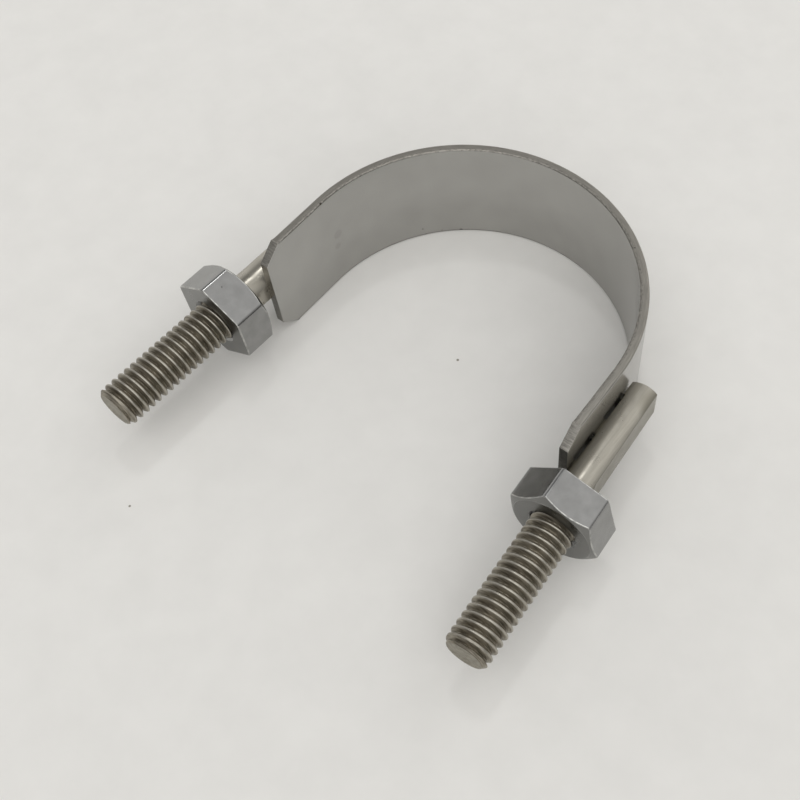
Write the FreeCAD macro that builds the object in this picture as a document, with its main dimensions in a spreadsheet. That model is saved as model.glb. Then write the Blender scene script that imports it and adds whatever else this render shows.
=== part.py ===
import FreeCAD, Part
import Sketcher
import math
import os

# A U-shaped steel strap that holds a pipe to a support: one bent strip, two studs
# welded to the outside of its legs, and a nut on each stud.
# X runs across the two studs, +Y points to the crown of the arc, Z is the pipe's axis.
# The origin is the centre of the clamped pipe at the middle of the strip's width.

doc = FreeCAD.newDocument("pipe_strap")
sheet = doc.addObject("Spreadsheet::Sheet", "Sizes")

SIZES = [
    ("clamp_radius", "34.5"),
    ("strip_thickness", "1.8"),
    ("strip_width", "25"),
    ("leg_length", "17.0"),
    ("leg_splay", "1.0"),
    ("cut_along", "4.0"),
    ("cut_across", "3.4"),
    ("stud_stand_off", "3.4"),
    ("stud_lean", "2.0"),
    ("shank_radius", "4.0"),
    ("shank_overlap", "23.0"),
    ("shank_end_bevel", "0.25"),
    ("press_past_end", "2.3"),
    ("back_flat_distance", "2.7"),
    ("back_ramp_length", "2.0"),
    ("recess_depth", "0.45"),
    ("recess_length", "6.4"),
    ("end_land_length", "3.5"),
    ("middle_land_length", "3.8"),
    ("thread_radius", "4.55"),
    ("thread_from_end", "5.0"),
    ("stud_reach", "38.5"),
    ("tip_chamfer", "0.9"),
    ("nut_flats", "17"),
    ("nut_height", "7.5"),
    ("nut_corner_radius", "1.0"),
    ("nut_face_radius", "8.1"),
    ("nut_bevel_angle", "30"),
    ("nut_clearance", "0.05"),
    ("nut_countersink", "0.55"),
    ("nut_left_gap", "4.45"),
    ("nut_right_gap", "3.0"),
    ("nut_left_turn", "26.5"),
    ("nut_right_turn", "16.8"),
]

for row, (alias, value) in enumerate(SIZES, start=1):
    sheet.set("A%d" % row, alias)
    sheet.set("B%d" % row, value)
    sheet.setAlias("B%d" % row, alias)
doc.recompute()


def size(alias):
    """The number in the cell with this alias."""
    return float(sheet.get(alias))


def plane(body, role):
    """One of the body's own origin planes, found by its role."""
    for item in body.Origin.OriginFeatures:
        if item.Role == role:
            return item
    raise ValueError(role)


def sketch_on(body, role, name):
    """A new sketch lying flat on one of the body's origin planes."""
    sketch = body.newObject("Sketcher::SketchObject", name)
    sketch.AttachmentSupport = [(plane(body, role), "")]
    sketch.MapMode = "FlatFace"
    return sketch


def new_body(name):
    """A body whose label is the name of the piece."""
    body = doc.addObject("PartDesign::Body", name)
    body.Label = name
    return body


def closed_outline(sketch, points, tie):
    """Straight lines through the points, joined end to end.

    tie maps (point number, "x" or "y") to an expression for that coordinate.
    """
    vectors = [FreeCAD.Vector(x, y, 0) for x, y in points]
    first = sketch.GeometryCount
    count = len(vectors)
    for i in range(count):
        line = Part.LineSegment(vectors[i], vectors[(i + 1) % count])
        sketch.addGeometry(line, False)
    for i in range(count):
        after = first + (i + 1) % count
        sketch.addConstraint(Sketcher.Constraint("Coincident", first + i, 2, after, 1))
    for (i, way), expression in tie.items():
        kind = "DistanceX" if way == "x" else "DistanceY"
        value = points[i][0] if way == "x" else points[i][1]
        number = sketch.addConstraint(Sketcher.Constraint(kind, -1, 1, first + i, 1, value))
        sketch.setExpression("Constraints[%d]" % number, expression)


def check(what, test):
    """Stop when a shape isn't what it was meant to be."""
    if not test:
        raise RuntimeError(what)


# The strip: an arc with two tangent legs that open a little, and four cropped corners.

radius = size("clamp_radius")
thick = size("strip_thickness")
width = size("strip_width")
leg = size("leg_length")
splay = math.radians(size("leg_splay"))
outer = radius + thick

band = new_body("band")
outline = sketch_on(band, "XY_Plane", "strap_outline")
centre = FreeCAD.Vector(0, 0, 0)
up = FreeCAD.Vector(0, 0, 1)


def on_arc(r, side):
    """Where the arc of radius r meets the leg on this side."""
    return FreeCAD.Vector(side * r * math.cos(splay), r * math.sin(splay), 0)


def leg_end(r, side):
    """The free end of the leg that continues the arc of radius r."""
    run = FreeCAD.Vector(side * math.sin(splay), -math.cos(splay), 0)
    return on_arc(r, side) + run * leg


def arc(r):
    """The arc of radius r from the right leg over the crown to the left leg."""
    circle = Part.Circle(centre, up, r)
    return Part.ArcOfCircle(circle, splay, math.pi - splay)


inner_arc = outline.addGeometry(arc(radius), False)
outer_arc = outline.addGeometry(arc(outer), False)
inner_right = outline.addGeometry(Part.LineSegment(on_arc(radius, 1), leg_end(radius, 1)), False)
outer_right = outline.addGeometry(Part.LineSegment(on_arc(outer, 1), leg_end(outer, 1)), False)
inner_left = outline.addGeometry(Part.LineSegment(on_arc(radius, -1), leg_end(radius, -1)), False)
outer_left = outline.addGeometry(Part.LineSegment(on_arc(outer, -1), leg_end(outer, -1)), False)
end_right = outline.addGeometry(Part.LineSegment(leg_end(radius, 1), leg_end(outer, 1)), False)
end_left = outline.addGeometry(Part.LineSegment(leg_end(radius, -1), leg_end(outer, -1)), False)

for curve in (inner_arc, outer_arc):
    outline.addConstraint(Sketcher.Constraint("Coincident", curve, 3, -1, 1))
for curve, line, end in (
    (inner_arc, inner_right, 1),
    (outer_arc, outer_right, 1),
    (inner_arc, inner_left, 2),
    (outer_arc, outer_left, 2),
):
    outline.addConstraint(Sketcher.Constraint("Tangent", curve, end, line, 1))
for line, end_line in (
    (inner_right, end_right),
    (inner_left, end_left),
):
    outline.addConstraint(Sketcher.Constraint("Coincident", line, 2, end_line, 1))
    outline.addConstraint(Sketcher.Constraint("Perpendicular", line, end_line))
for line, end_line in ((outer_right, end_right), (outer_left, end_left)):
    outline.addConstraint(Sketcher.Constraint("Coincident", line, 2, end_line, 2))

for name, constraint, expression in (
    ("inner_radius", Sketcher.Constraint("Radius", inner_arc, radius), "Sizes.clamp_radius"),
    (
        "outer_radius",
        Sketcher.Constraint("Radius", outer_arc, outer),
        "Sizes.clamp_radius + Sizes.strip_thickness",
    ),
    ("right_leg", Sketcher.Constraint("Distance", inner_right, leg), "Sizes.leg_length"),
    ("left_leg", Sketcher.Constraint("Distance", inner_left, leg), "Sizes.leg_length"),
    (
        "right_start",
        Sketcher.Constraint("DistanceY", -1, 1, inner_right, 1, radius * math.sin(splay)),
        "Sizes.clamp_radius * sin(Sizes.leg_splay * 1deg)",
    ),
    (
        "left_start",
        Sketcher.Constraint("DistanceY", -1, 1, inner_left, 1, radius * math.sin(splay)),
        "Sizes.clamp_radius * sin(Sizes.leg_splay * 1deg)",
    ),
):
    number = outline.addConstraint(constraint)
    outline.renameConstraint(number, name)
    outline.setExpression("Constraints." + name, expression)

strap_pad = band.newObject("PartDesign::Pad", "strap_pad")
strap_pad.Profile = outline
strap_pad.SideType = "Symmetric"
strap_pad.setExpression("Length", "Sizes.strip_width")
doc.recompute()
uncropped = strap_pad.Shape.Volume

# The four corners of the legs' ends are cropped across the strip.

corners = sketch_on(band, "YZ_Plane", "corner_crops")
END = (
    "(Sizes.clamp_radius * sin(Sizes.leg_splay * 1deg)"
    " - Sizes.leg_length * cos(Sizes.leg_splay * 1deg))"
)
end_at = radius * math.sin(splay) - leg * math.cos(splay)
along = size("cut_along")
across = size("cut_across")
for side in (1, -1):
    sign = "" if side == 1 else "-1 * "
    closed_outline(
        corners,
        [
            (end_at + along, side * width / 2),
            (end_at, side * (width / 2 - across)),
            (end_at - along, side * (width / 2 - 2 * across)),
            (end_at - along, side * width / 2),
        ],
        {
            (0, "x"): END + " + Sizes.cut_along",
            (0, "y"): sign + "Sizes.strip_width / 2",
            (1, "x"): END,
            (1, "y"): sign + "(Sizes.strip_width / 2 - Sizes.cut_across)",
            (2, "x"): END + " - Sizes.cut_along",
            (2, "y"): sign + "(Sizes.strip_width / 2 - 2 * Sizes.cut_across)",
            (3, "x"): END + " - Sizes.cut_along",
            (3, "y"): sign + "Sizes.strip_width / 2",
        },
    )
crop = band.newObject("PartDesign::Pocket", "corner_crop")
crop.Profile = corners
crop.Type = "ThroughAll"
crop.SideType = "Symmetric"
doc.recompute()
cropped = 4 * thick * along * across / 2
check("corners not cropped", abs(uncropped - crop.Shape.Volume - cropped) < 0.08 * cropped)


# A stud: a drawn shank with a rolled thread. The shank is pressed flat on its back and
# on the side that is welded to the strip, and two recesses on that side leave raised
# lands for the welds. The welded face leans against the stud's axis, so the studs open
# more than the legs do. The stud's own y axis runs from the foot of the stand-off at
# the leg's end to the tip, and its own -x side faces the strip.


def lay_on_leg(sketch):
    """Turn a sketch so that x = 0 is the leg's outer face and y = 0 is the leg's end."""
    lean = "Sizes.stud_lean * 1deg"
    foot = "vector(-Sizes.stud_stand_off * cos(%s); -Sizes.stud_stand_off * sin(%s); 0)"
    turn = "rotation(vector(0; 0; 1); Sizes.stud_lean)"
    sketch.setExpression("AttachmentOffset", "placement(%s; %s)" % (foot % (lean, lean), turn))


def cut_through(body, sketch, name):
    """A pocket through the whole stud, which must remove something."""
    before = body.Tip.Shape.Volume
    pocket = body.newObject("PartDesign::Pocket", name)
    pocket.Profile = sketch
    pocket.Type = "ThroughAll"
    pocket.SideType = "Symmetric"
    doc.recompute()
    check(name + " cuts nothing", before - pocket.Shape.Volume > 20)


def make_stud(name):
    """The stud in its own frame."""
    body = new_body(name)
    shank = size("shank_radius")
    crest = size("thread_radius")
    back = -size("shank_overlap")
    reach = size("stud_reach")
    start = size("thread_from_end")
    rim = size("shank_end_bevel")
    bevel = size("tip_chamfer")
    profile = sketch_on(body, "XY_Plane", name + "_profile")
    closed_outline(
        profile,
        [
            (0, back),
            (shank - rim, back),
            (shank, back + rim),
            (shank, start),
            (crest, start + crest - shank),
            (crest, reach - bevel),
            (crest - bevel, reach),
            (0, reach),
        ],
        {
            (0, "x"): "0",
            (0, "y"): "-Sizes.shank_overlap",
            (1, "x"): "Sizes.shank_radius - Sizes.shank_end_bevel",
            (1, "y"): "-Sizes.shank_overlap",
            (2, "x"): "Sizes.shank_radius",
            (2, "y"): "Sizes.shank_end_bevel - Sizes.shank_overlap",
            (3, "x"): "Sizes.shank_radius",
            (3, "y"): "Sizes.thread_from_end",
            (4, "x"): "Sizes.thread_radius",
            (4, "y"): "Sizes.thread_from_end + Sizes.thread_radius - Sizes.shank_radius",
            (5, "x"): "Sizes.thread_radius",
            (5, "y"): "Sizes.stud_reach - Sizes.tip_chamfer",
            (6, "x"): "Sizes.thread_radius - Sizes.tip_chamfer",
            (6, "y"): "Sizes.stud_reach",
            (7, "x"): "0",
            (7, "y"): "Sizes.stud_reach",
        },
    )
    turned = body.newObject("PartDesign::Revolution", name + "_turned")
    turned.Profile = profile
    turned.ReferenceAxis = (profile, ["V_Axis"])
    turned.Angle = 360
    doc.recompute()

    # The flat on the back, away from the strip, runs out up a short ramp.
    flat = size("back_flat_distance")
    past = size("press_past_end")
    ramp = size("back_ramp_length")
    pressed_back = sketch_on(body, "XY_Plane", name + "_back_face")
    closed_outline(
        pressed_back,
        [
            (2 * shank, back - shank),
            (flat, back - shank),
            (flat, past - ramp),
            (shank, past),
            (2 * shank, past),
        ],
        {
            (0, "x"): "2 * Sizes.shank_radius",
            (0, "y"): "-Sizes.shank_overlap - Sizes.shank_radius",
            (1, "x"): "Sizes.back_flat_distance",
            (1, "y"): "-Sizes.shank_overlap - Sizes.shank_radius",
            (2, "x"): "Sizes.back_flat_distance",
            (2, "y"): "Sizes.press_past_end - Sizes.back_ramp_length",
            (3, "x"): "Sizes.shank_radius",
            (3, "y"): "Sizes.press_past_end",
            (4, "x"): "2 * Sizes.shank_radius",
            (4, "y"): "Sizes.press_past_end",
        },
    )
    cut_through(body, pressed_back, name + "_back_flat")

    # The flat that meets the strip ends in a square step just past the leg's end.
    pressed = sketch_on(body, "XY_Plane", name + "_welded_face")
    lay_on_leg(pressed)
    closed_outline(
        pressed,
        [(-2 * shank, back - shank), (0, back - shank), (0, past), (-2 * shank, past)],
        {
            (0, "x"): "-2 * Sizes.shank_radius",
            (0, "y"): "-Sizes.shank_overlap - Sizes.shank_radius",
            (1, "x"): "0",
            (1, "y"): "-Sizes.shank_overlap - Sizes.shank_radius",
            (2, "x"): "0",
            (2, "y"): "Sizes.press_past_end",
            (3, "x"): "-2 * Sizes.shank_radius",
            (3, "y"): "Sizes.press_past_end",
        },
    )
    cut_through(body, pressed, name + "_welded_flat")

    # Two recesses leave three raised lands on that flat.
    deep = size("recess_depth")
    long = size("recess_length")
    recesses = sketch_on(body, "XY_Plane", name + "_recesses")
    lay_on_leg(recesses)
    for number in (0, 1):
        low = back + size("end_land_length") + number * (long + size("middle_land_length"))
        low_text = "(Sizes.end_land_length - Sizes.shank_overlap"
        low_text += " + %d * (Sizes.recess_length + Sizes.middle_land_length))" % number
        high_text = low_text + " + Sizes.recess_length"
        closed_outline(
            recesses,
            [(-2 * shank, low), (deep, low), (deep, low + long), (-2 * shank, low + long)],
            {
                (0, "x"): "-2 * Sizes.shank_radius",
                (0, "y"): low_text,
                (1, "x"): "Sizes.recess_depth",
                (1, "y"): low_text,
                (2, "x"): "Sizes.recess_depth",
                (2, "y"): high_text,
                (3, "x"): "-2 * Sizes.shank_radius",
                (3, "y"): high_text,
            },
        )
    cut_through(body, recesses, name + "_recess")
    return body


# A nut: a hexagon with soft corners, bevelled on one face only, with a hole countersunk
# from both faces. The two nuts were put on opposite ways round, so the bevel faces the
# strip on the left stud and the tip on the right one. A nut's own y axis is the hole's
# axis and y = 0 is the face towards the strip.


def make_nut(name, turn_alias, bevel_to_tip):
    """The nut in its own frame, turned about its axis by the angle in the sheet."""
    body = new_body(name)
    hexagon = sketch_on(body, "XZ_Plane", name + "_hexagon")
    corner = size("nut_flats") / math.sqrt(3)
    turn = math.radians(size(turn_alias))
    angles = [turn + i * math.pi / 3 for i in range(6)]
    closed_outline(
        hexagon,
        [(corner * math.cos(w), corner * math.sin(w)) for w in angles],
        {
            (i, way): "Sizes.nut_flats / sqrt(3) * %s((Sizes.%s + %d) * 1deg)"
            % (function, turn_alias, 60 * i)
            for i in range(6)
            for way, function in (("x", "cos"), ("y", "sin"))
        },
    )
    block = body.newObject("PartDesign::Pad", name + "_block")
    block.Profile = hexagon
    block.setExpression("Length", "Sizes.nut_height")
    doc.recompute()
    if block.Shape.BoundBox.YMax < size("nut_height") / 2:
        block.Reversed = True
        doc.recompute()
    check("nut lies the wrong way", abs(block.Shape.BoundBox.YMin) < 1e-6)

    high = size("nut_height")
    upright = [
        "Edge%d" % number
        for number, edge in enumerate(block.Shape.Edges, start=1)
        if abs(edge.BoundBox.YLength - high) < 1e-6
    ]
    check("nut has six corner edges", len(upright) == 6)
    rounded = body.newObject("PartDesign::Fillet", name + "_corners")
    rounded.Base = (block, upright)
    rounded.setExpression("Radius", "Sizes.nut_corner_radius")
    doc.recompute()
    solid = rounded.Shape.Volume
    check("nut corners not rounded", 0 < block.Shape.Volume - solid < 0.02 * solid)

    face = size("nut_face_radius")
    rim = size("nut_flats")
    slope = math.tan(math.radians(size("nut_bevel_angle")))
    level = high if bevel_to_tip else 0
    level_text = "Sizes.nut_height" if bevel_to_tip else "0"
    inward = -1 if bevel_to_tip else 1
    sunk = "(Sizes.nut_flats - Sizes.nut_face_radius) * tan(Sizes.nut_bevel_angle * 1deg)"
    cone = sketch_on(body, "XY_Plane", name + "_cone")
    closed_outline(
        cone,
        [(face, level), (rim, level), (rim, level + inward * (rim - face) * slope)],
        {
            (0, "x"): "Sizes.nut_face_radius",
            (0, "y"): level_text,
            (1, "x"): "Sizes.nut_flats",
            (1, "y"): level_text,
            (2, "x"): "Sizes.nut_flats",
            (2, "y"): "%s + %d * %s" % (level_text, inward, sunk),
        },
    )
    bevel = body.newObject("PartDesign::Groove", name + "_bevel")
    bevel.Profile = cone
    bevel.ReferenceAxis = (cone, ["V_Axis"])
    bevel.Angle = 360
    doc.recompute()
    check("nut not bevelled", 3 < solid - bevel.Shape.Volume < 0.1 * solid)
    before = bevel.Shape.Volume

    bore = size("thread_radius") + size("nut_clearance")
    sink = size("nut_countersink")
    wall = "Sizes.thread_radius + Sizes.nut_clearance"
    mouth = wall + " + Sizes.nut_countersink"
    hole = sketch_on(body, "XY_Plane", name + "_hole")
    closed_outline(
        hole,
        [
            (0, 0),
            (bore + sink, 0),
            (bore, sink),
            (bore, high - sink),
            (bore + sink, high),
            (0, high),
        ],
        {
            (0, "x"): "0",
            (0, "y"): "0",
            (1, "x"): mouth,
            (1, "y"): "0",
            (2, "x"): wall,
            (2, "y"): "Sizes.nut_countersink",
            (3, "x"): wall,
            (3, "y"): "Sizes.nut_height - Sizes.nut_countersink",
            (4, "x"): mouth,
            (4, "y"): "Sizes.nut_height",
            (5, "x"): "0",
            (5, "y"): "Sizes.nut_height",
        },
    )
    opened = body.newObject("PartDesign::Groove", name + "_opened")
    opened.Profile = hole
    opened.ReferenceAxis = (hole, ["V_Axis"])
    opened.Angle = 360
    doc.recompute()
    bored = math.pi * bore * bore * high
    check("nut not bored", before - opened.Shape.Volume > 0.98 * bored)
    return body


def place(body, side, past_end):
    """Bind a piece to the stud line of this side, past the foot at the leg's end.

    The foot is one stand-off outside the leg's outer face, and the line leans away
    from the leg by the stud's own angle.
    """
    splay = "(Sizes.leg_splay * 1deg)"
    total = "((Sizes.leg_splay + Sizes.stud_lean) * 1deg)"
    out = "(Sizes.clamp_radius + Sizes.strip_thickness + Sizes.stud_stand_off)"
    across = "%d * (%s * cos%s + Sizes.leg_length * sin%s + %s * sin%s)"
    across = across % (side, out, splay, splay, past_end, total)
    along = "%s * sin%s - Sizes.leg_length * cos%s - %s * cos%s"
    along = along % (out, splay, splay, past_end, total)
    spot = "vector(%s; %s; 0)" % (across, along)
    turn = "Sizes.leg_splay + Sizes.stud_lean"
    if side > 0:
        turn = "rotation(vector(0; 0; 1); %s) * rotation(vector(1; 0; 0); 180)" % turn
    else:
        turn = "rotation(vector(0; 0; 1); 180 - (%s))" % turn
    body.setExpression("Placement", "placement(%s; %s)" % (spot, turn))


stud_left = make_stud("stud_left")
stud_right = make_stud("stud_right")
nut_left = make_nut("nut_left", "nut_left_turn", False)
nut_right = make_nut("nut_right", "nut_right_turn", True)
place(stud_left, -1, "0")
place(stud_right, 1, "0")
place(nut_left, -1, "Sizes.nut_left_gap")
place(nut_right, 1, "Sizes.nut_right_gap")
doc.recompute()

pieces = [band, stud_left, stud_right, nut_left, nut_right]
for item in doc.Objects:
    check(item.Name + " failed", "Invalid" not in item.State and "Error" not in item.State)
os.makedirs("parts", exist_ok=True)
for piece in pieces:
    shape = piece.Shape
    check(piece.Label + " has no shape", not shape.isNull())
    check(piece.Label + " isn't valid", shape.isValid() and len(shape.Solids) == 1)
for piece in pieces:
    piece.Shape.exportStep("parts/" + piece.Label + ".step")
    print(piece.Label, round(piece.Shape.Volume, 1), "mm3")
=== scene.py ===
# %% [markdown]
# A pipe strap of bent steel strip, with a threaded stud along each leg and a nut on each
# stud, stands on the edge of its strip on white paper.
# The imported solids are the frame: they give the sizes, and they carry the moving parts.
# This script replaces them with finer surfaces that have what the solids leave out: the
# rolled threads, the threaded holes and the soft edges of slit strip.

# %% Load the frame
import math

import bpy
import numpy as np
from mathutils import Matrix, Vector


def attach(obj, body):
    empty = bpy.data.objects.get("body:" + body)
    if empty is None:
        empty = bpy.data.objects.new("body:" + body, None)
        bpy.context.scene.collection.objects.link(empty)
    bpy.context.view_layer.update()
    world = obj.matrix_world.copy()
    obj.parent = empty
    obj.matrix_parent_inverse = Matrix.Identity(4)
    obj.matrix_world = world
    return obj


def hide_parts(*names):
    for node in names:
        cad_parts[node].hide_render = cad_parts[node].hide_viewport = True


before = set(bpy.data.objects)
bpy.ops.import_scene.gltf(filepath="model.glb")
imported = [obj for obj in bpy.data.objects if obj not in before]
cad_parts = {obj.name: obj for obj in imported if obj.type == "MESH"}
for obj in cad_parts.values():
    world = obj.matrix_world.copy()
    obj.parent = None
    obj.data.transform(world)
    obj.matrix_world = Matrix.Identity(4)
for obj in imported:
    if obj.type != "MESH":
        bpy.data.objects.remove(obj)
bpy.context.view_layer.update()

# %% [markdown]
# Sizes are in millimetres, and are the same as those of the solids. The origin is the
# centre of the clamped pipe, z runs along the pipe, and the legs and studs point to -y.
# Each size is given where it is first needed, and the strip's come first, because the
# studs are placed by them too.

# %% Sizes of the strip
MM = 0.001
CLAMP_RADIUS = 34.5
THICKNESS = 1.8
HALF_WIDTH = 12.5
LEG_LENGTH = 17.0
LEG_SPLAY = math.radians(1.0)
UP = np.array([0.0, 0.0, 1.0])
print("strip of", 2 * HALF_WIDTH, "x", THICKNESS, "mm round a pipe of", 2 * CLAMP_RADIUS, "mm")

# %% [markdown]
# Every new piece is a surface of two parameters on a grid of points. It could also be cut
# and bevelled out of blocks, but on a grid the quads follow the thread and the edges, and
# the sizes stay exact. One function turns such a grid into a mesh: it joins neighbouring
# points into quads, and the last column back to the first. The rows either end in two
# flat faces or close into a ring.

# %% Grid to mesh


def outward(mesh):
    """Turn all faces over if the enclosed volume, a sum of a . (b x c) / 6, is negative."""
    corners = np.empty(len(mesh.vertices) * 3)
    mesh.vertices.foreach_get("co", corners)
    corners = corners.reshape(-1, 3)
    mesh.calc_loop_triangles()
    triangles = np.empty(len(mesh.loop_triangles) * 3, dtype=np.int32)
    mesh.loop_triangles.foreach_get("vertices", triangles)
    a, b, c = corners[triangles.reshape(-1, 3)].transpose(1, 0, 2)
    if np.einsum("ij,ij->i", a, np.cross(b, c)).sum() < 0:
        mesh.flip_normals()


def grid_mesh(name, points, ring=False, smooth_angle=35.0, **marks):
    """A piece from points[i, j] in millimetres, closed across the columns.

    Quad (i, j) joins the points (i, j), (i, j+1), (i+1, j+1) and (i+1, j), with j+1
    taken modulo the number of columns. marks are arrays of one number per point, which
    the materials read by their name.
    """
    rows, columns, _ = points.shape
    index = np.arange(rows * columns).reshape(rows, columns)
    if ring:
        index = np.vstack([index, index[:1]])
    right = np.roll(index, -1, axis=1)
    quads = np.stack([index[:-1], right[:-1], right[1:], index[1:]], axis=-1)
    faces = quads.reshape(-1, 4).tolist()
    if not ring:
        faces += [index[0, ::-1].tolist(), index[-1].tolist()]
    mesh = bpy.data.meshes.new(name)
    mesh.from_pydata((points.reshape(-1, 3) * MM).tolist(), [], faces)
    for word, values in marks.items():
        mark = mesh.attributes.new(word, "FLOAT", "POINT")
        mark.data.foreach_set("value", values.ravel().astype(np.float32))
    outward(mesh)
    mesh.shade_smooth()
    mesh.set_sharp_from_angle(angle=math.radians(smooth_angle))
    piece = bpy.data.objects.new(name, mesh)
    bpy.context.scene.collection.objects.link(piece)
    print(name, len(mesh.vertices), "points", sum(len(f) - 2 for f in faces), "triangles")
    return piece


# %% [markdown]
# Many edges here are soft. One function says how much of a change is done at a place, and
# its curve has no kink where the change begins and ends.

# %% Soft step


def smooth_step(x, low, high):
    """0 below low and 1 above high, and 3 s^2 - 2 s^3 between them."""
    s = np.clip((x - low) / (high - low), 0.0, 1.0)
    return s * s * (3.0 - 2.0 * s)


print("soft step a quarter of the way up", smooth_step(0.25, 0.0, 1.0))

# %% [markdown]
# A stud and its nut share a line: it starts at a foot beside the leg's end, and leans
# away from the leg. A point is given there by how far along the line it is (y), and by
# its place across it: x away from the strip, z along the pipe. Turned objects would do
# the same, but then the patterns of their materials would turn with them.

# %% The stud line
STAND_OFF = 3.4
LEAN = math.radians(2.0)
SIDES = {"left": -1, "right": 1}


def stud_frame(side):
    """(foot, across, along) of the stud line: side is -1 at the left and 1 at the right.

    With splay a and lean w the leg's outer face has the normal n = (cos a, sin a), the
    leg's direction is d = (sin a, -cos a), and the stud's is (sin(a+w), -cos(a+w)).
    """
    a, b = LEG_SPLAY, LEG_SPLAY + LEAN
    out = CLAMP_RADIUS + THICKNESS + STAND_OFF
    foot = np.array([out * math.cos(a) + LEG_LENGTH * math.sin(a),
                     out * math.sin(a) - LEG_LENGTH * math.cos(a), 0.0])
    across = np.array([math.cos(b), math.sin(b), 0.0])
    along = np.array([math.sin(b), -math.cos(b), 0.0])
    mirror = np.array([side, 1.0, 1.0])
    return foot * mirror, across * mirror, along * mirror


def on_stud_line(side, radius, y, angle):
    """Points from the radius, the height and the angle about the line: x = r cos t."""
    foot, across, along = stud_frame(side)
    x, z = radius * np.cos(angle), radius * np.sin(angle)
    return foot + x[..., None] * across + y[..., None] * along + z[..., None] * UP


for word, side in SIDES.items():
    print("foot of the", word, "stud line", np.round(stud_frame(side)[0], 2))

# %% [markdown]
# The thread is a right-hand helix. Its profile over one pitch has a narrow crest, flanks
# at 60 degrees to each other and a rounded root, as rolling leaves it. A profile swept
# along a curve would do too, but its ends would need cutting. A radius that changes with
# height and angle fades into the plain wire by itself.

# %% Thread profile
PITCH = 1.5875
CREST_RADIUS = 4.55
ROOT_RADIUS = 3.58
HALF_CREST = 0.17
CREST_ROUNDING = 0.16
ROOT_ROUNDING = 0.12
FLANK_SLOPE = math.tan(math.radians(60.0))


def thread_radius(side, y, angle, clearance=0.0):
    """Radius of the thread at the height y and the angle.

    The part of a turn past the crest's middle is y / P - t / 360 degrees at the right
    and y / P + t / 360 degrees at the left, where angles run the other way. With u the
    distance along the axis from the nearest crest's middle, a flank falls from the
    crest by (u - f) * tan(60 degrees), f being half the crest's flat. Crest and root
    are rounded off by smin(a, b) = (a + b - sqrt((a - b)^2 + k^2)) / 2.
    """
    phase = y / PITCH - side * angle / (2 * math.pi)
    u = PITCH * np.abs(phase - np.round(phase))
    flank = CREST_RADIUS - (u - HALF_CREST) * FLANK_SLOPE
    apart = np.sqrt((flank - CREST_RADIUS) ** 2 + CREST_ROUNDING ** 2)
    top = (flank + CREST_RADIUS - apart) / 2
    apart = np.sqrt((top - ROOT_RADIUS) ** 2 + ROOT_ROUNDING ** 2)
    return (top + ROOT_RADIUS + apart) / 2 + clearance


samples = thread_radius(1, np.linspace(0, PITCH, 200), 0.0)
print("thread radius from", round(samples.min(), 3), "to", round(samples.max(), 3))

# %% [markdown]
# The shank is the same wire, pressed flat on its back and on the side of the strip, where
# two recesses leave three raised lands for the welds. Pressing also spreads it sideways a
# little. Each flat is kept as its distance from the stud line, because a surface that is
# written as a radius can then take whichever limit is nearest.

# %% Pressed flats of the shank
SHANK_RADIUS = 4.0
SPREAD = 0.2
SPREAD_FADE = (-3.5, 2.0)
PRESS_END = 2.3
BACK_FLAT = 2.7
BACK_RAMP = 2.0
RECESS_DEPTH = 0.45


def flat_distances(y):
    """How far the flats lie from the line at the heights y: (back, land, recess floor).

    The back flat rises to the round wire along its ramp. The welded face leans, so its
    distance is (S + y * sin(w)) / cos(w) at the height y, S being the stand-off.
    """
    rise = np.clip((y - PRESS_END + BACK_RAMP) / BACK_RAMP, 0.0, 1.0)
    back = BACK_FLAT + (SHANK_RADIUS - BACK_FLAT) * rise
    land = (STAND_OFF + y * math.sin(LEAN)) / math.cos(LEAN)
    return back, land, land - RECESS_DEPTH / math.cos(LEAN)


def wire_radius(y, angle):
    """R + s * sin(t)^2: pressing spreads the wire sideways by s, up to its soft end."""
    return SHANK_RADIUS + SPREAD * np.sin(angle) ** 2 * (1.0 - smooth_step(y, *SPREAD_FADE))


def flat_corner(y, distance):
    """Angle t between a flat's direction and its corner, where d / cos(t) is the wire's radius.

    The radius depends on the angle, so it starts at the plain wire's and is put back in
    six times, after which it no longer changes.
    """
    angle = np.arccos(np.minimum(distance / SHANK_RADIUS, 1.0))
    for _ in range(6):
        angle = np.arccos(np.minimum(distance / wire_radius(y, angle), 1.0))
    return angle


print("back flat, land and recess floor at the leg's end", np.round(flat_distances(0.0), 2))

# %% [markdown]
# The grid of a stud has its rows where steps and thread need them, and its columns bend
# to follow the corners between the flats and the round wire. An even grid would need many
# more quads to show those corners as clean lines.

# %% Columns and rows of a stud
OVERLAP = 23.0
END_BEVEL = 0.25
RECESSES = ((-19.5, -13.1), (-9.3, -2.9))
THREAD_START = 5.0
REACH = 38.5
HALF_STEP = 0.08
STEP_ROWS = ((-0.03, 0.12), (0.03, 0.88))  # place from the step's middle, share done
ROWS_PER_PITCH = 20
NARROWEST = 0.35
COLUMNS = {"back flat": 18, "round side": 32, "recess edge": 8, "land": 10}


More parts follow.
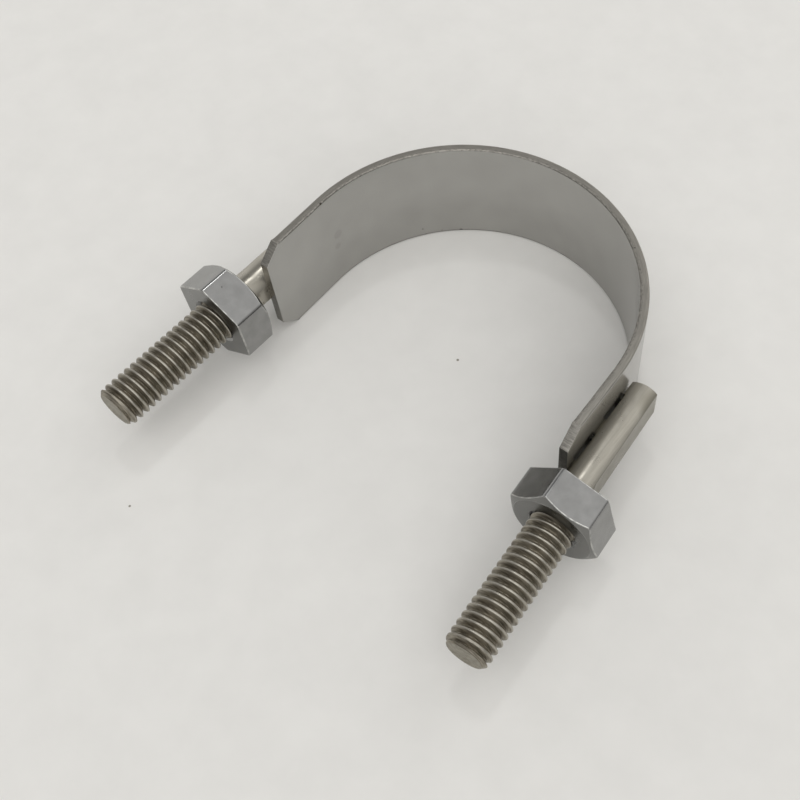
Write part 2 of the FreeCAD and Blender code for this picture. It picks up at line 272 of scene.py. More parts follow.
def stud_angles(y):
    """Angles of the columns at each height, as a 2-D array.

    The columns are spread evenly between the corners, so that each edge of a flat is an
    edge of the mesh. Along its ramp the back flat closes, but its columns stay as wide as
    NARROWEST of the full flat, and past the pressing they open to all of it.
    """
    back, land, floor = flat_distances(np.minimum(y, PRESS_END))
    full = math.acos(BACK_FLAT / SHANK_RADIUS)
    least = full * np.clip(NARROWEST + (y - PRESS_END) / 2.0, NARROWEST, 1.0)
    corner = np.maximum(flat_corner(y, back), least)
    marks = [0.0 * y, corner, math.pi - flat_corner(y, floor),
             math.pi - flat_corner(y, land), math.pi + 0.0 * y]
    parts = []
    for low, high, count in zip(marks[:-1], marks[1:], COLUMNS.values()):
        share = np.linspace(0.0, 1.0, count, endpoint=False)
        parts.append(low[:, None] + (high - low)[:, None] * share)
    half = np.concatenate(parts, axis=1)
    return np.concatenate([half, marks[4][:, None], 2 * math.pi - half[:, :0:-1]], axis=1)


def stud_rows():
    """Rows of (height, pressed, recessed), the last two being 0, 1 or between on an edge.

    A step takes four rows over twice HALF_STEP, so that its two edges are soft.
    """
    rows = [(-OVERLAP, 1.0, 0.0)]
    edges = [-OVERLAP + END_BEVEL, *RECESSES[0], *RECESSES[1], PRESS_END]
    for number, (low, high) in enumerate(zip(edges[:-1], edges[1:])):
        inside = float(number % 2)
        last = number == len(edges) - 2
        for y in np.linspace(low + HALF_STEP * (number > 0), high - HALF_STEP, 7):
            rows.append((y, 1.0, inside))
        for shift, share in STEP_ROWS:
            turned = inside if last else inside + (1.0 - 2.0 * inside) * share
            rows.append((high + shift, 1.0 - share if last else 1.0, turned))
    plain = np.linspace(PRESS_END + HALF_STEP, THREAD_START - 0.2, 6)
    threaded = np.arange(THREAD_START - 0.12, REACH - 0.03, PITCH / ROWS_PER_PITCH)
    rows += [(y, 0.0, 0.0) for y in (*plain, *threaded, REACH)]
    return np.array(rows)


print("a stud has", len(stud_rows()), "rows of", 2 * sum(COLUMNS.values()), "columns")

# %% [markdown]
# A stud is one surface: at the height y along its line and the angle t around it, it is
# as far out as the round wire, the thread or the nearest pressed flat allows. The real
# one is a single piece of wire too, so nothing is joined on.

# %% Radius of a stud
THREAD_FADE = (THREAD_START - 0.2, THREAD_START + 1.8)
TIP_CHAMFER = 0.9
LOW_CREST = 0.25
LOW_CREST_RISE = 0.1
TINY = 1e-6


def stud_radius(side, y, angle, pressed, recess):
    """Radius of the stud at heights y and angles; angle 0 points away from the strip.

    A flat at the distance d across the direction t0 limits the radius to d / cos(t - t0)
    wherever that cosine is above zero. pressed and recess run from 0 to 1 over the soft
    edge of each step. The blank's own taper leaves the last crests before the tip low
    and flat.
    """
    cut = smooth_step(y, *THREAD_FADE)
    wire = wire_radius(y, angle) + (thread_radius(side, y, angle) - SHANK_RADIUS) * cut
    from_tip = REACH - y
    wire = np.minimum(wire, CREST_RADIUS - TIP_CHAMFER + from_tip)
    wire = np.minimum(wire, CREST_RADIUS - LOW_CREST + LOW_CREST_RISE * from_tip)
    back, land, floor = flat_distances(y)
    behind = back / np.maximum(np.cos(angle), TINY)
    radius = np.where(y < PRESS_END + 0.1, np.minimum(wire, behind), wire)
    facing = np.maximum(-np.cos(angle), TINY)
    on_land = np.minimum(radius, land / facing)
    on_floor = np.minimum(radius, floor / facing)
    welded = on_land + (on_floor - on_land) * recess
    radius = radius + (welded - radius) * pressed
    return radius - np.clip(-OVERLAP + END_BEVEL - y, 0.0, END_BEVEL)


# %% Studs
END_RING = 0.06


def make_stud(word, side):
    """The stud's surface over heights and angles, with marks for its groove and its ends.

    groove is 0 on a crest and 1 at a root: (crest - r) / (crest - root). cut_face is 1
    on the two flat end faces, each of which has a ring of points just inside its rim,
    and flat is 1 on the pressed back.
    """
    rows = stud_rows()
    angle = stud_angles(rows[:, 0])
    y, pressed, recess = (np.repeat(rows[:, k:k + 1], angle.shape[1], axis=1) for k in range(3))
    radius = stud_radius(side, y, angle, pressed, recess)
    groove = np.clip((CREST_RADIUS - radius) / (CREST_RADIUS - ROOT_RADIUS), 0.0, 1.0)
    groove = groove * smooth_step(y, *THREAD_FADE)
    back = flat_distances(y)[0]
    flat = smooth_step(radius * np.cos(angle), back - 0.05, back)
    flat = flat * smooth_step(-y, -PRESS_END, 0.0)
    radius = np.vstack([radius[:1] - END_RING, radius, radius[-1:] - END_RING])
    y, angle, groove, flat = (np.vstack([a[:1], a, a[-1:]]) for a in (y, angle, groove, flat))
    cut_face = np.zeros_like(y)
    cut_face[[0, -1]] = 1.0
    points = on_stud_line(side, radius, y, angle)
    return grid_mesh(word + "_threaded_stud", points, smooth_angle=30.0,
                     groove=groove, cut_face=cut_face, flat=flat)


studs = {word: make_stud(word, side) for word, side in SIDES.items()}
for word, stud in studs.items():
    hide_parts("stud_" + word)
    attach(stud, "strap")

# %% [markdown]
# A nut is a hexagon with softly rounded corners, seen along its hole. It could be a
# cylinder of six sides with a bevel, but the real one's edges are arcs, where a cone cuts
# the flats. A radius for each angle around the axis gives those arcs exactly.

# %% Outline of a nut
NUT_FLATS = 17.0
NUT_CORNER_RADIUS = 1.0
NUT_CORNER = {"left": math.radians(26.5), "right": math.radians(43.2)}
SIXTH = math.pi / 3
CORNER_MIDDLE = (NUT_FLATS / 2 - NUT_CORNER_RADIUS) / math.cos(SIXTH / 2)
CORNER_REACH = math.atan2(NUT_CORNER_RADIUS * math.sin(SIXTH / 2),
                          CORNER_MIDDLE + NUT_CORNER_RADIUS * math.cos(SIXTH / 2))


def nut_angles(corner):
    """Angles of the nut's columns: eight around each corner and sixteen over each flat.

    A corner's rounding ends CORNER_REACH to each side of it, seen from the axis.
    """
    near = np.linspace(-CORNER_REACH, CORNER_REACH, 8, endpoint=False)
    flat = np.linspace(CORNER_REACH, SIXTH - CORNER_REACH, 16, endpoint=False)
    side = np.concatenate([near, flat])
    return (corner + side + np.arange(6)[:, None] * SIXTH).ravel()


def hexagon_radius(angle, corner):
    """Distance from the axis to the nut's side at each angle.

    With t the angle from the nearest flat's middle, a flat is at (F / 2) / cos(t). A
    corner is a circle of radius c about a point at D = (F / 2 - c) / cos(30 degrees), so
    with s the angle from the corner it is at D cos(s) + sqrt(c^2 - (D sin(s))^2).
    """
    s = np.mod(angle - corner + SIXTH / 2, SIXTH) - SIXTH / 2
    flat = NUT_FLATS / 2 / np.cos(SIXTH / 2 - np.abs(s))
    left_over = np.maximum(NUT_CORNER_RADIUS ** 2 - (CORNER_MIDDLE * np.sin(s)) ** 2, 0.0)
    rounded = CORNER_MIDDLE * np.cos(s) + np.sqrt(left_over)
    return np.where(np.abs(s) < CORNER_REACH, rounded, flat)


print("across the nut's corners", round(2 * (CORNER_MIDDLE + NUT_CORNER_RADIUS), 2), "mm")

# %% [markdown]
# Each nut is bevelled on one face only, and the two were put on opposite ways round. The
# other face runs out flat to the slightly rounded edge of the hexagon. A number goes with
# each row and tells the material what the row lies on; the rows of the rounded edges are
# painted lighter in places, as a painted highlight.

# %% Faces of a nut
NUT_FACE_RADIUS = 8.1
NUT_MOUTH_RADIUS = 5.15
NUT_EDGE_RADIUS = 0.22
FACE_MIDDLE = 6.6
BEVEL_ANGLE = 30.0
EDGE, CIRCLE, FLAT, FACE = 1.0, 0.2, 0.0, -1.0


def nut_face(hexagon, level, inward, bevelled):
    """Rows of one face from the hole's mouth to the flats: (radii, heights, worn).

    Heights are level + inward * depth. On a bevelled face the depth outside the face's
    circle is (r - face radius) * tan(30 degrees). The last rows round off the edge: a
    circle of radius c whose tangent turns from the angle b0 to 0 has the points
    (hexagon - c * (1 - cos b), start + c * (tan(b0 / 2) - sin b)). The mark of a row is EDGE
    there, CIRCLE where the bevel begins, FLAT on the flats and FACE on the face; the material
    paints the EDGE rows lighter, as a painted highlight.
    """
    slope = math.tan(math.radians(BEVEL_ANGLE))
    rows = [(NUT_MOUTH_RADIUS, 0.03, FLAT), (NUT_MOUTH_RADIUS + 0.04, 0.0, FACE),
            (FACE_MIDDLE, 0.0, FACE)]
    start, first = 0.0, 90.0
    if bevelled:
        rows += [(NUT_FACE_RADIUS - 0.08, 0.0, FACE), (NUT_FACE_RADIUS, 0.01, CIRCLE)]
        for share in (0.1, 0.5, 0.9):
            radius = NUT_FACE_RADIUS + (hexagon - 0.15 - NUT_FACE_RADIUS) * share
            rows.append((radius, (radius - NUT_FACE_RADIUS) * slope, FACE))
        start, first = (hexagon - NUT_FACE_RADIUS) * slope, 90.0 - BEVEL_ANGLE
    else:
        rows.append((hexagon - NUT_EDGE_RADIUS - 0.05, 0.0, FACE))
    shift = NUT_EDGE_RADIUS * math.tan(math.radians(first / 2))
    for b in np.radians(np.linspace(first, 0.0, 6)):
        rows.append((hexagon - NUT_EDGE_RADIUS * (1 - math.cos(b)),
                     start + shift - NUT_EDGE_RADIUS * math.sin(b), EDGE))
    rows.append((hexagon, start + shift + 0.05, FLAT))
    same = np.ones_like(hexagon)
    return [(r * same, (level + inward * depth) * same, worn * same) for r, depth, worn in rows]


# %% [markdown]
# A nut is one ring-shaped surface. Its section goes up the threaded hole, out over the
# face towards the tip, down the flats and back under. The hole has the stud's own thread
# with a little room, so the two mesh without touching.

# %% Nuts
NUT_HEIGHT = 7.5
NUT_GAP = {"left": 4.45, "right": 3.0}
NUT_MINOR_RADIUS = 4.07
NUT_CLEARANCE = 0.06
HOLE_ROWS = 76


def make_nut(word, bevel_to_tip):
    """The nut's surface over angle and section: the hole, one face, the flats, the other.

    The hole's radius is the thread's with its clearance, not under the minor radius, and
    not under the countersink's, which loses as much as the depth.
    """
    side, low, corner = SIDES[word], NUT_GAP[word], NUT_CORNER[word]
    high = low + NUT_HEIGHT
    angle = nut_angles(corner)
    hexagon = hexagon_radius(angle, corner)
    ring = []
    for y in np.linspace(low + 0.06, high - 0.06, HOLE_ROWS):
        hole = np.maximum(thread_radius(side, y, angle, NUT_CLEARANCE), NUT_MINOR_RADIUS)
        hole = np.maximum(hole, NUT_MOUTH_RADIUS - min(y - low, high - y))
        ring.append((hole, y + 0.0 * angle, FLAT * angle))
    ring += nut_face(hexagon, high, -1, bevel_to_tip)
    ring += nut_face(hexagon, low, 1, not bevel_to_tip)[::-1]
    radius, y, worn = np.array(ring).transpose(1, 0, 2)
    points = on_stud_line(side, radius, y, np.repeat(angle[None, :], len(ring), axis=0))
    return grid_mesh(word + "_hex_nut", points, ring=True, smooth_angle=20.0, worn=worn)


nuts = {
    "left": make_nut("left", bevel_to_tip=False),
    "right": make_nut("right", bevel_to_tip=True),
}
for word, nut in nuts.items():
    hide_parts("nut_" + word)
    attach(nut, word + "_nut")

# %% [markdown]
# The band is bent from straight strip whose four corners were cropped first. A curve with
# a bevel object would bend it too, but the crops and the change from soft slit edges to
# sharp sheared ones need a section that changes along the path. So a rounded rectangle is
# worked out at each station of the bent path.

# %% Path of the band
CUT_ALONG = 4.0


def band_path():
    """(middle, outward way, distance from the end, station) at stations along the band.

    The arc has the radius r = R + T / 2 from a to 180 - a degrees, and each leg runs
    straight on from it, along its tangent.
    """
    arc = CLAMP_RADIUS * (math.pi - 2 * LEG_SPLAY)
    leg = np.concatenate([
        np.linspace(-LEG_LENGTH, -LEG_LENGTH + CUT_ALONG, 9),
        np.linspace(-LEG_LENGTH + CUT_ALONG + 0.3, -0.5, 16),
    ])
    stations = np.concatenate([leg, np.linspace(0.0, arc, 181), arc - leg[::-1]])
    turn = LEG_SPLAY + np.clip(stations, 0.0, arc) / CLAMP_RADIUS
    outward_way = np.stack([np.cos(turn), np.sin(turn), 0 * turn], axis=1)
    forward = np.stack([-np.sin(turn), np.cos(turn), 0 * turn], axis=1)
    straight = stations - np.clip(stations, 0.0, arc)
    middle = outward_way * (CLAMP_RADIUS + THICKNESS / 2) + forward * straight[:, None]
    from_end = np.minimum(stations, arc - stations) + LEG_LENGTH
    return middle, outward_way, from_end, stations


print("the band's path has", len(band_path()[0]), "stations")

# %% Section of the band
CUT_ACROSS = 3.4
SHEARED_RADIUS = 0.04
SLIT_RADIUS = {"outer": 0.40, "inner": 0.34}


def band_section(from_end):
    """(across, up) points of the section at each station, and how far each faces up or down.

    Half the width is W - c * (1 - e / l) within the crop's length l of the end, e being
    the distance from the end. Each corner is a quarter circle; its radius is larger on
    the outer face, and falls to almost nothing on the sheared crop.
    """
    half_width = HALF_WIDTH - CUT_ACROSS * np.clip(1 - from_end / CUT_ALONG, 0, 1)
    slit = np.clip((from_end - CUT_ALONG) / 0.4, 0, 1)
    columns, edges = [], []
    for corner, (sx, sz) in enumerate(((1, 1), (-1, 1), (-1, -1), (1, -1))):
        radius = SHEARED_RADIUS + slit * SLIT_RADIUS["outer" if sx > 0 else "inner"]
        for step in np.linspace(0, math.pi / 2, 7):
            way = corner * math.pi / 2 + step
            x = sx * (THICKNESS / 2 - radius) + radius * math.cos(way)
            z = sz * (half_width - radius) + radius * math.sin(way)
            columns.append(np.stack([x, z], axis=1))
            edges.append(math.sin(way) ** 2 + 0 * z)
        if corner in (1, 3):
            for part in np.linspace(0, 1, 18)[1:-1]:
                z = sz * (half_width - radius) * (1 - 2 * part)
                columns.append(np.stack([sx * THICKNESS / 2 + 0 * z, z], axis=1))
                edges.append(0 * z)
    return np.stack(columns, axis=1), np.stack(edges, axis=1)


print("its section has", band_section(np.zeros(1))[0].shape[1], "points")

# %% Band
CROP_SHARE = 0.6


def make_band(name):
    """The band's surface: middle line + across * outward + up * z.

    Its marks are slit, 1 on the long slit edges; sheared, 0.6 on the crops and 1 on the
    end faces, each of which has a ring of points just inside its rim; and along and
    across, the place on the strip in mm.
    """
    middle, outward_way, from_end, stations = band_path()
    section, edge = band_section(from_end)
    cropped = smooth_step(CUT_ALONG + 0.2 - from_end, 0.0, 0.3)[:, None]
    sheared, slit = CROP_SHARE * edge * cropped, edge * (1 - cropped)
    inset = section[[0, -1]] * (1 - END_RING / np.array([THICKNESS, 2 * HALF_WIDTH]))
    section = np.concatenate([inset[:1], section, inset[1:]])
    ends = np.ones((1, edge.shape[1]))
    sheared = np.concatenate([ends, sheared, ends])
    slit = np.concatenate([0 * ends, slit, 0 * ends])
    middle, outward_way, stations = (
        np.concatenate([a[:1], a, a[-1:]]) for a in (middle, outward_way, stations))
    points = middle[:, None, :] + section[..., :1] * outward_way[:, None, :]
    points = points + section[..., 1:] * UP
    along = stations[:, None] + 0.0 * section[..., 0]
    return grid_mesh(name, points, smooth_angle=40.0, slit=slit, sheared=sheared,
                     along=along, across=section[..., 0])


band = make_band("bent_strip")
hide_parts("band")
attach(band, "strap")

# %% [markdown]
# Colours are written as they look on a screen, and one function turns them into the
# linear values that shaders work with. One more adds any node, and another starts a
# material with the piece's own place in millimetres, from which patterns are made.

# %% Colour and nodes


def linear(hex_colour):
    """Linear RGBA of an sRGB hex colour: ((c + 0.055) / 1.055) ** 2.4, or c / 12.92 if dark."""
    parts = [int(hex_colour[k:k + 2], 16) / 255 for k in (1, 3, 5)]
    return [c / 12.92 if c <= 0.04045 else ((c + 0.055) / 1.055) ** 2.4 for c in parts] + [1.0]


def add(owner, kind, inputs=None, links=None, **settings):
    """Add one node to a material or the world, with its settings, values and links.

    inputs maps an input's name, or its number from the top where several share a name,
    to a value, and links maps one to (node, output's name or number).
    """
    tree = owner.node_tree
    node = tree.nodes.new("ShaderNode" + kind)
    for word, value in settings.items():
        setattr(node, word, value)
    for socket, value in (inputs or {}).items():
        node.inputs[socket].default_value = value
    for socket, (source, output) in (links or {}).items():
        tree.links.new(source.outputs[output], node.inputs[socket])
    return node


def new_material(name, **values):
    """(material, place): its shader has the values, and place is the object's in mm."""
    material = bpy.data.materials.new(name)
    material.use_nodes = True
    for word, value in values.items():
        material.node_tree.nodes["Principled BSDF"].inputs[word].default_value = value
    metres = add(material, "TexCoord")
    place = add(material, "VectorMath", {1: (1000.0, 1000.0, 1000.0)}, {0: (metres, "Object")},
                operation="MULTIPLY")
    return material, place


def dress(material, pieces, sources):
    """Link the sources to the shader's sockets, and give the material to the pieces."""
    tree = material.node_tree
    for socket, (source, output) in sources.items():
        tree.links.new(source.outputs[output], tree.nodes["Principled BSDF"].inputs[socket])
    for piece in pieces:
        piece.data.materials.append(material)
    print(material.name, "has", len(tree.nodes), "nodes")


# %% [markdown]
# Three kinds of pattern make every finish here. Noise whose grain is given in millimetres
# clouds and streaks a surface, a fade turns a number such as that noise into a colour,
# and small round spots stand for specks and dents. An image could be wrapped round each
# piece instead, but a pattern that is worked out from the place has no seam.

# %% Patterns


def noise(owner, place, grain, stretch=(1.0, 1.0, 1.0), detail=2.0, roughness=0.5):
    """Soft noise from 0 to 1 with blobs of about grain millimetres, longer by stretch."""
    scale = tuple(1.0 / (grain * s) for s in stretch)
    squeezed = add(owner, "VectorMath", {1: scale}, {0: (place, 0)}, operation="MULTIPLY")
    return add(owner, "TexNoise", {"Scale": 1.0, "Detail": detail, "Roughness": roughness},
               {"Vector": (squeezed, 0)})


def fade(owner, source, low, high, colour_a, colour_b):
    """Colour a where the source is at low, b where it is at high, and a mix between them.

    source is (node, output), and each colour is a hex colour or an earlier fade.
    """
    share = add(owner, "MapRange", {"From Min": low, "From Max": high}, {"Value": source})
    inputs, links = {}, {0: (share, 0)}
    for socket, colour in ((6, colour_a), (7, colour_b)):
        if isinstance(colour, str):
            inputs[socket] = linear(colour)
        else:
            links[socket] = (colour, 2)
    return add(owner, "Mix", inputs, links, data_type="RGBA")


def spotted(owner, place, places, colour, spot_colour):
    """The spot colour in each of the soft round spots (x, y, z, radius), all in mm."""
    for x, y, z, radius in places:
        away = add(owner, "VectorMath", {1: (x, y, z)}, {0: (place, 0)}, operation="DISTANCE")
        colour = fade(owner, (away, "Value"), radius, 0.6 * radius, colour, spot_colour)
    return colour


# %% [markdown]
# The band is cold rolled stainless strip. Its two broad faces have the mill's smooth dull
# finish: neutral grey, faintly clouded, with reflections that are blurred but keep their
# shape.

# %% Strip steel: broad faces
strip_steel, place = new_material("cold rolled stainless strip", Metallic=1.0)
cloud = noise(strip_steel, place, 7.0, detail=3.0)
face_colour = fade(strip_steel, (cloud, 0), 0.3, 0.7, "#adaca9", "#b4b3b0")

# %% [markdown]
# Slitting burnishes the outer part of the long edges, which is darker and streaked
# lengthwise, and tears the inner third, which is ragged and speckled. Both patterns run
# along the bend, so they read the place on the flat strip from the marks of the mesh. The
# real streaks are 0.05 mm wide, and are drawn 0.16 mm wide to show at all.

# %% Strip steel: slit edges
along = add(strip_steel, "Attribute", attribute_name="along")
across = add(strip_steel, "Attribute", attribute_name="across")
on_strip = add(strip_steel, "CombineXYZ", None,
               {0: (along, "Fac"), 1: (across, "Fac"), 2: (place, 0)})
streaks = noise(strip_steel, on_strip, 0.16, stretch=(16.0, 1.0, 400.0))
burnished = fade(strip_steel, (streaks, 0), 0.35, 0.65, "#898680", "#99968f")
grain = noise(strip_steel, on_strip, 0.3, stretch=(2.0, 1.0, 400.0), roughness=0.7)
torn = fade(strip_steel, (grain, 0), 0.4, 0.62, "#7a7772", "#a5a29b")
tear_line = add(strip_steel, "Math", {1: 1.5}, {0: (grain, 0), 2: (across, "Fac")},
                operation="MULTIPLY_ADD")
edge_colour = fade(strip_steel, (tear_line, 0), 0.35, 0.2, burnished, torn)
slit = add(strip_steel, "Attribute", attribute_name="slit")
on_edge = add(strip_steel, "MapRange", {"From Max": 0.35}, {"Value": (slit, "Fac")})
colour = fade(strip_steel, (on_edge, 0), 0.0, 1.0, face_colour, edge_colour)

# %% [markdown]
# The sheared crops carry marks across the thickness, and the end faces are darker. A dark
# line along the lower edge is painted shade, where the strip stands on the paper. A few
# specks of scale were rolled in, and one faint smudge is on the inner face.

# %% Strip steel: sheared ends, painted shade and dirt
sheared = add(strip_steel, "Attribute", attribute_name="sheared")
marks = noise(strip_steel, place, 0.5, stretch=(3.0, 0.5, 0.5), detail=1.0)
shear_colour = fade(strip_steel, (marks, 0), 0.3, 0.7, "#918e88", "#b6b3ac")
colour = fade(strip_steel, (sheared, "Fac"), 0.15, 0.45, colour, shear_colour)
end_colour = fade(strip_steel, (marks, 0), 0.3, 0.7, "#716e68", "#8d8a84")
colour = fade(strip_steel, (sheared, "Fac"), 0.7, 1.0, colour, end_colour)
height = add(strip_steel, "SeparateXYZ", None, {0: (place, 0)})
# Painted shade: the strip darkens to a dark line along its lower edge, where it stands on the
# paper.
colour = fade(strip_steel, (height, "Z"), -12.0, -12.35, colour, "#6b6863")
SCALE_SPECKS = (
    (-21.2, 27.2, -12.2, 0.42), (-26.9, 21.7, -12.3, 0.3), (-27.2, 21.2, -10.3, 0.18),
    (-24.4, 24.4, -11.8, 0.14), (-34.6, 0.3, 12.5, 0.35), (22.5, 26.9, 12.5, 0.18),
)
colour = spotted(strip_steel, place, SCALE_SPECKS, colour, "#46423c")
SMUDGE = ((-34.4, 2.9, 0.8, 1.4), (-34.4, 2.3, -2.4, 1.0))
colour = spotted(strip_steel, place, SMUDGE, colour, "#a9a8a5")

# %% [markdown]
# Dull strip starts at a roughness of about 0.2. The clouds vary it a little, and the slit
# edges are twice as rough and grainy.

# %% Strip steel: gloss
gloss = add(strip_steel, "MapRange",
            {"From Min": 0.3, "From Max": 0.7, "To Min": 0.19, "To Max": 0.25},
            {"Value": (cloud, 0)})
rough = add(strip_steel, "Math", {1: 0.24}, {0: (on_edge, 0), 2: (gloss, 0)},
            operation="MULTIPLY_ADD")
bump = add(strip_steel, "Bump", {"Distance": 0.00002},
           {"Height": (grain, 0), "Strength": (on_edge, 0)})
dress(strip_steel, [band], {"Base Color": (colour, 2), "Roughness": (rough, 0),
                            "Normal": (bump, 0)})

# %% [markdown]
# The studs are drawn stainless wire. The shank is a warm, matt grey with faint drawing
# lines along it. Rolling has burnished the thread's crests, while its flanks stay dull
# and brownish, with fine lines around the stud. Both kinds of line are 0.05 mm apart on
# the real wire, and are drawn 0.2 to 0.3 mm apart to show.

# %% Stud steel: wire and thread
stud_steel, place = new_material("drawn stainless wire with rolled thread", Metallic=1.0)
lines = noise(stud_steel, place, 0.3, stretch=(1.0, 20.0, 1.0))
wire_colour = fade(stud_steel, (lines, 0), 0.3, 0.7, "#a5a197", "#b1ada3")
rolled = noise(stud_steel, place, 0.2, stretch=(12.0, 1.0, 12.0))
flank_colour = fade(stud_steel, (rolled, 0), 0.38, 0.62, "#777166", "#a19b8e")
groove = add(stud_steel, "Attribute", attribute_name="groove")
in_groove = add(stud_steel, "MapRange", {"From Min": 0.05, "From Max": 0.2},
                {"Value": (groove, "Fac")})
colour = fade(stud_steel, (in_groove, 0), 0.0, 1.0, wire_colour, flank_colour)

# %% [markdown]
# The pressed back is darker than the drawn wire, and the shanks are painted darker in two
# patches by their upper ends. The cropped end faces are torn and dark, and one shank has
# two small scratches.

# %% Stud steel: pressed back and ends
flat = add(stud_steel, "Attribute", attribute_name="flat")
colour = fade(stud_steel, (flat, "Fac"), 0.0, 1.0, colour, "#908c82")
# The shanks are painted darker in two patches by their upper ends.
DARKER_SHANK_PATCHES = ((43.0, 4.5, 1.5, 5.0), (-43.0, 4.5, 1.5, 5.0))
colour = spotted(stud_steel, place, DARKER_SHANK_PATCHES, colour, "#918d82")
end_grain = noise(stud_steel, place, 0.8)
end_colour = fade(stud_steel, (end_grain, 0), 0.3, 0.7, "#7f7a6e", "#a09b8e")
cut = add(stud_steel, "Attribute", attribute_name="cut_face")
colour = fade(stud_steel, (cut, "Fac"), 0.0, 1.0, colour, end_colour)
SCRATCHES = ((40.1, 3.6, 3.8, 0.14), (41.4, 0.4, 3.3, 0.14))
colour = spotted(stud_steel, place, SCRATCHES, colour, "#55503f")

# %% [markdown]
# Drawn wire is duller than rolled strip, with a roughness of about 0.3, and the flanks of
# the thread are duller still. The grain of the end faces also roughens the wire a little.

# %% Stud steel: gloss
cloud = noise(stud_steel, place, 3.0, detail=3.0)
gloss = add(stud_steel, "MapRange",
            {"From Min": 0.3, "From Max": 0.7, "To Min": 0.26, "To Max": 0.38},
            {"Value": (cloud, 0)})
rough = add(stud_steel, "Math", {1: 0.14}, {0: (in_groove, 0), 2: (gloss, 0)},
            operation="MULTIPLY_ADD")
bump = add(stud_steel, "Bump", {"Strength": 0.25, "Distance": 0.00003},
           {"Height": (end_grain, 0)})
dress(stud_steel, studs.values(), {"Base Color": (colour, 2), "Roughness": (rough, 0),
                                   "Normal": (bump, 0)})

# %% [markdown]
# The nuts are cold formed stainless steel and smoother than the rest: their flats are
# nearly plain mirrors with a roughness under 0.2, faintly uneven, with a small dent. The
# two faces are duller, and the rounded edges are painted lighter in places, as a painted
# highlight.

# %% Nut steel
nut_steel, place = new_material("cold formed stainless nut", Metallic=1.0)
cloud = noise(nut_steel, place, 2.5, detail=3.0)
colour = fade(nut_steel, (cloud, 0), 0.3, 0.7, "#8f8f8e", "#9b9b9a")
worn = add(nut_steel, "Attribute", attribute_name="worn")
on_face = add(nut_steel, "MapRange", {"From Max": -0.6}, {"Value": (worn, "Fac")})
colour = fade(nut_steel, (on_face, 0), 0.0, 1.0, colour, "#828280")
# Painted highlight: the rows of the rounded edges are painted lighter in patches, for the
# bright lines they catch.
highlight_noise = noise(nut_steel, place, 1.2)
worn_colour = fade(nut_steel, (highlight_noise, 0), 0.4, 0.6, "#999997", "#c2c2bf")
colour = fade(nut_steel, (worn, "Fac"), 0.1, 0.9, colour, worn_colour)
colour = spotted(nut_steel, place, ((-39.1, -24.9, 8.8, 0.2),), colour, "#6c6c6a")
gloss = add(nut_steel, "MapRange",
            {"From Min": 0.3, "From Max": 0.7, "To Min": 0.17, "To Max": 0.22},
            {"Value": (cloud, 0)})
rough = add(nut_steel, "Math", {1: 0.1}, {0: (on_face, 0), 2: (gloss, 0)},
            operation="MULTIPLY_ADD")
bump = add(nut_steel, "Bump", {"Strength": 0.1, "Distance": 0.00003}, {"Height": (cloud, 0)})
dress(nut_steel, nuts.values(), {"Base Color": (colour, 2), "Roughness": (rough, 0),
                                 "Normal": (bump, 0)})

# %% [markdown]
# The strap stands on a sheet of white paper, which lies at the strip's lower edge. The
# paper is matt, faintly clouded, and has two tiny dark fibres.

# %% Paper
SHEET = 1200.0
corners = np.array([[-SHEET, -SHEET], [SHEET, -SHEET], [SHEET, SHEET], [-SHEET, SHEET]])
corners = np.column_stack([corners, np.full(4, -HALF_WIDTH)]) * MM
mesh = bpy.data.meshes.new("paper_sheet")
mesh.from_pydata(corners.tolist(), [], [(0, 1, 2, 3)])
paper = bpy.data.objects.new("paper_sheet", mesh)
bpy.context.scene.collection.objects.link(paper)
white_paper, place = new_material("white copy paper", Roughness=0.9)
cloud = noise(white_paper, place, 9.0, detail=3.0, roughness=0.6)
colour = fade(white_paper, (cloud, 0), 0.3, 0.7, "#e4e3e0", "#e8e7e4")
FIBRES = ((-0.8, -1.0, -12.5, 0.35), (-32.3, -65.5, -12.5, 0.3))
colour = spotted(white_paper, place, FIBRES, colour, "#8a857c")
dress(white_paper, [paper], {"Base Color": (colour, 2)})

# %% [markdown]
# The light is that of a pale room: its brightest part is the side behind the camera, the
# far walls are dimmer, and one patch of the ceiling opposite is dark.
# It is written as a few soft glows on the sky, because polished steel shows every edge of
# a lamp, and a sky of glows has none. In the direction d, a glow about the direction m
# adds strength * exp(sharpness * (d . m - 1)).

# %% Room light
SKY_RISE = 0.23
DARKEST = 0.03
GLOWS = (  # azimuth and elevation in degrees, sharpness, strength
    (316.0, 42.0, 5.8, 1.54),
    (249.0, 65.0, 11.4, 0.76),
    (89.0, 36.0, 3.3, 1.47),
    (155.0, -1.0, 2.7, 0.94),
    (121.0, 46.0, 6.2, -1.20),
)


def sky_way(azimuth, elevation):
    """The unit vector (cos e cos a, cos e sin a, sin e) of a direction in degrees."""
    a, e = math.radians(azimuth), math.radians(elevation)
    return (math.cos(e) * math.cos(a), math.cos(e) * math.sin(a), math.sin(e))


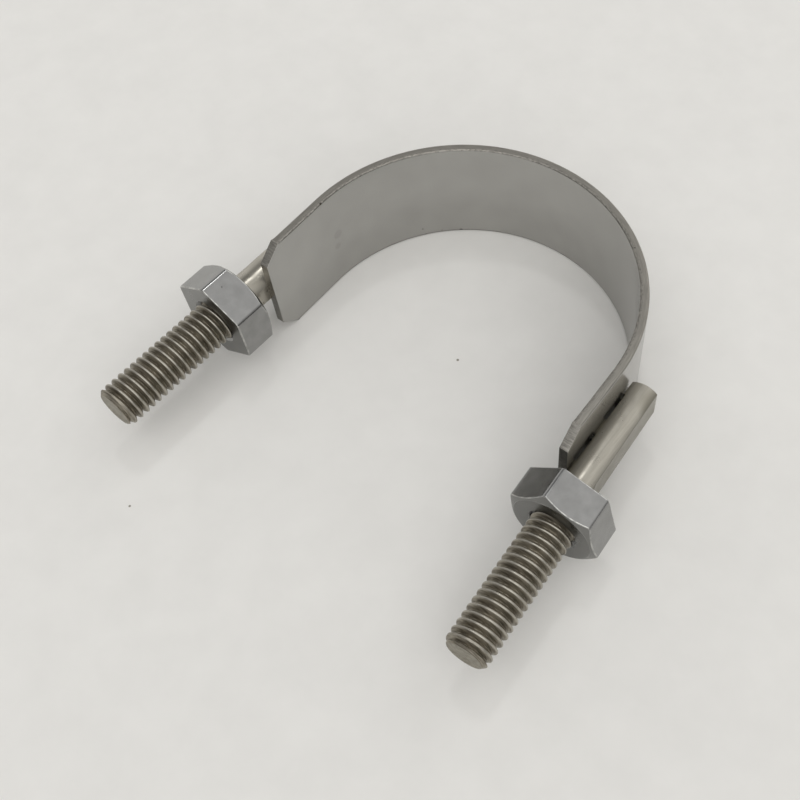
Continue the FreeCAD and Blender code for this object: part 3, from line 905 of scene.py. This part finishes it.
room = bpy.data.worlds.new("room")
bpy.context.scene.world = room
room.use_nodes = True
way = add(room, "TexCoord")
parts = add(room, "SeparateXYZ", None, {0: (way, "Generated")})
total = add(room, "Math", {1: SKY_RISE}, {0: (parts, "Z")}, operation="MULTIPLY")
for azimuth, elevation, sharpness, strength in GLOWS:
    facing = add(room, "VectorMath", {1: sky_way(azimuth, elevation)}, {0: (way, "Generated")},
                 operation="DOT_PRODUCT")
    power = add(room, "Math", {1: sharpness, 2: -sharpness}, {0: (facing, "Value")},
                operation="MULTIPLY_ADD")
    glow = add(room, "Math", None, {0: (power, 0)}, operation="EXPONENT")
    total = add(room, "Math", {1: strength}, {0: (glow, 0), 2: (total, 0)},
                operation="MULTIPLY_ADD")
radiance = add(room, "Math", {1: DARKEST}, {0: (total, 0)}, operation="MAXIMUM")
background = room.node_tree.nodes["Background"]
room.node_tree.links.new(radiance.outputs[0], background.inputs["Strength"])
background.inputs["Color"].default_value = linear("#fffefc")
print("the room's light has", len(GLOWS), "glows")

# %% [markdown]
# One small lamp on the ceiling makes the glints on the round parts. An area lamp shines
# along its own -z, so its z axis is turned away from the strap.

# %% Ceiling lamp
lamp = bpy.data.lights.new("ceiling_lamp", "AREA")
lamp.size = 0.15
lamp.energy = 1.4
holder = bpy.data.objects.new("ceiling_lamp", lamp)
holder.location = Vector(sky_way(128.0, 70.0)) * 1.6
holder.rotation_euler = holder.location.to_track_quat("Z", "Y").to_euler()
bpy.context.scene.collection.objects.link(holder)
print("ceiling lamp of", lamp.energy, "W at", [round(c, 2) for c in holder.location], "m")

# %% [markdown]
# The camera looks down at the strap from the front right, as in the photograph. Its place
# and turn were fitted to measured corners: a point p in mm is seen at turn * p + shift,
# with x to the right, y down and z away from the lens. The length of the lens and the
# picture's centre are in pixels of a picture 800 wide.

# %% Camera
PICTURE = 800.0
SENSOR = 36.0
LENS_PIXELS = 1145.21
CENTRE = (494.134, 440.859)
VIEW_TURN = (2.513027, 0.814872, -0.245099)
VIEW_SHIFT = (-6.61234, -23.41115, 228.28958)


def turn_matrix(vector):
    """Rotation about the vector by its length in radians, by the formula of Rodrigues.

    With K the matrix of the cross product with the unit vector, it is
    1 + sin(angle) K + (1 - cos(angle)) K K.
    """
    angle = float(np.linalg.norm(vector))
    x, y, z = np.array(vector) / angle
    cross = np.array([[0, -z, y], [z, 0, -x], [-y, x, 0]])
    return np.eye(3) + math.sin(angle) * cross + (1 - math.cos(angle)) * cross @ cross


turn = turn_matrix(VIEW_TURN)
lens = bpy.data.cameras.new("photo_view")
lens.sensor_width = SENSOR
lens.lens = LENS_PIXELS * SENSOR / PICTURE
lens.shift_x = (PICTURE / 2 - CENTRE[0]) / PICTURE
lens.shift_y = (CENTRE[1] - PICTURE / 2) / PICTURE
lens.clip_start = 0.01
camera = bpy.data.objects.new("photo_view", lens)
bpy.context.scene.collection.objects.link(camera)
place = -turn.T @ np.array(VIEW_SHIFT) * MM
matrix = np.eye(4)
matrix[:3, 0], matrix[:3, 1], matrix[:3, 2], matrix[:3, 3] = turn[0], -turn[1], -turn[2], place
camera.matrix_world = Matrix(matrix.tolist())
bpy.context.scene.camera = camera
print("camera at", np.round(place / MM, 1), "mm")

# %% [markdown]
# The plain view transform shows colours as they are written. The finer surfaces have to
# lie within the solids' box.

# %% View
bpy.context.scene.view_settings.view_transform = "Standard"
